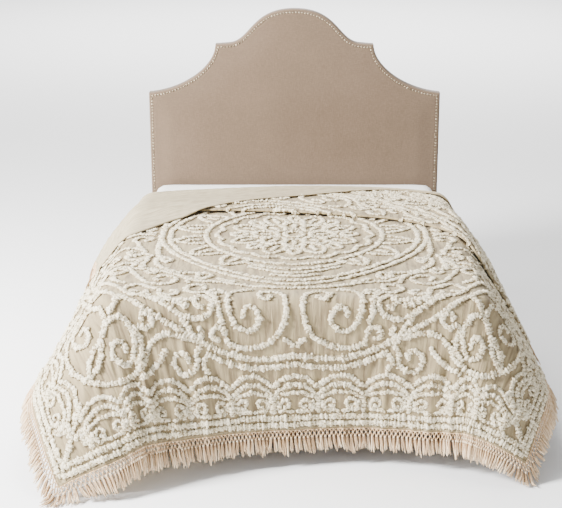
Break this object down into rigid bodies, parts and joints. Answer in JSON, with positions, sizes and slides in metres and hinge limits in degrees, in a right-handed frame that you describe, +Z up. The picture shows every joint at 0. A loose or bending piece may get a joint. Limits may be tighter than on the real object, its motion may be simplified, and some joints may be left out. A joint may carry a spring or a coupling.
{
  "type": "chenille bedspread on a bed",
  "caption": "Chenille bedspread with a knotted fringe, draped over a made-up bed with an arched upholstered headboard and folded back in a tuck at the head.",
  "frame": {"origin": "on the floor, under the middle of the whole part's box", "axes": "+X to the bed's right seen from its foot, +Y from the foot to the headboard, +Z up"},
  "size_m": [2.2725, 2.661, 1.655],
  "materials": {
    "chenille": "tufted cotton pile on a crinkled plain weave",
    "fringe": "matt twisted cotton yarn",
    "sheet_cotton": "matt woven cotton",
    "base_linen": "matt woven linen",
    "upholstery": "matt upholstery cloth with metal nailheads",
    "timber": "satin stained beech"
  },
  "bodies": {
    "root": {"mattress": "sheet_cotton", "base": "base_linen", "headboard": "upholstery", "strut_left": "timber", "strut_right": "timber", "bedspread": "chenille", "fringe_left": "fringe", "fringe_right": "fringe", "fringe_foot": "fringe", "leg_left_foot": "timber", "leg_left_head": "timber", "leg_middle_foot": "timber", "leg_middle_head": "timber", "leg_right_foot": "timber", "leg_right_head": "timber"}
  },
  "joints": []
}
